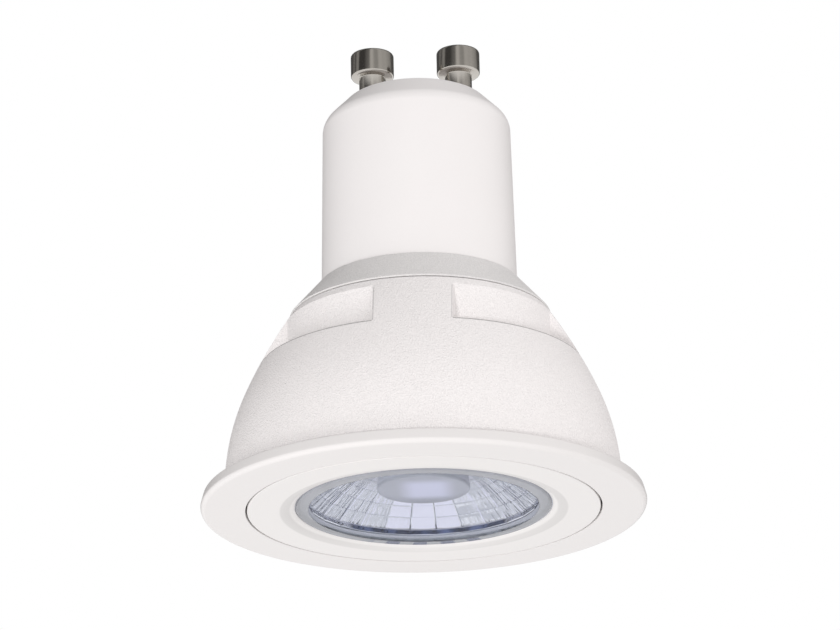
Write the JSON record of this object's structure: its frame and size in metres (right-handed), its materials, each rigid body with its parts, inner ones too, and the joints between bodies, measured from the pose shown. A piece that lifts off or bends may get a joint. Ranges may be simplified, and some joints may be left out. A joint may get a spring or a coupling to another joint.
{
  "type": "led reflector bulb",
  "caption": "White LED reflector bulb with a two-pin twist-lock base, bell body with corner recesses, flat flange, faceted reflector and clear cover lens.",
  "frame": {"origin": "centre of the flat front face, which the lamp stands on", "axes": "+Z from the front face up to the contact pins, along the lamp's axis; X along the line of the two pins"},
  "size_m": [0.05, 0.05, 0.0557],
  "materials": {
    "base_plastic": "smooth white moulding",
    "collar_paint": "fine matt white",
    "bell_paint": "fine-grained white paint",
    "trim_plastic": "smooth satin white",
    "bezel_plastic": "smooth satin white",
    "pin_metal": "bright nickel plate",
    "lens_clear": "clear with a faint blue tint",
    "gasket_rubber": "soft grey",
    "reflector_coat": "mirror-bright metallised moulding",
    "optic_clear": "clear with a fine satin end",
    "phosphor": "pale even glow",
    "led_substrate": "white-coated board",
    "thermal_grease": "grey thermal pad",
    "holder_plastic": "matt white",
    "screw_steel": "zinc plate",
    "sink_aluminium": "plain machined",
    "cup_plastic": "matt natural white",
    "board_laminate": "green solder mask",
    "capacitor_sleeve": "shrink sleeve",
    "film_case": "moulded case",
    "ferrite": "dark sintered ferrite",
    "winding_tape": "yellow tape over wire",
    "chip_epoxy": "moulded epoxy",
    "resistor_paint": "pale blue lacquer",
    "wire_blue": "insulated wire",
    "wire_brown": "insulated wire",
    "wire_black": "insulated wire",
    "wire_red": "insulated wire"
  },
  "bodies": {
    "root": {"base_housing": "base_plastic", "neck_collar": "collar_paint", "bell_housing": "bell_paint", "trim_ring": "trim_plastic", "bezel_ring": "bezel_plastic", "contact_pin_left": "pin_metal", "contact_pin_right": "pin_metal", "cover_lens": "lens_clear", "lens_gasket": "gasket_rubber", "reflector": "reflector_coat", "primary_lens": "optic_clear", "led_emitter": "phosphor", "led_board": "led_substrate", "thermal_pad": "thermal_grease", "led_holder": "holder_plastic", "holder_screws": "screw_steel", "heat_sink": "sink_aluminium", "insulating_cup": "cup_plastic", "driver_board": "board_laminate", "electrolytic_capacitor": "capacitor_sleeve", "film_capacitor": "film_case", "transformer_core": "ferrite", "transformer_winding": "winding_tape", "bridge_rectifier": "chip_epoxy", "driver_chip": "chip_epoxy", "fusible_resistor": "resistor_paint", "input_wire_left": "wire_blue", "input_wire_right": "wire_brown", "output_wire_left": "wire_black", "output_wire_right": "wire_red"}
  },
  "joints": []
}
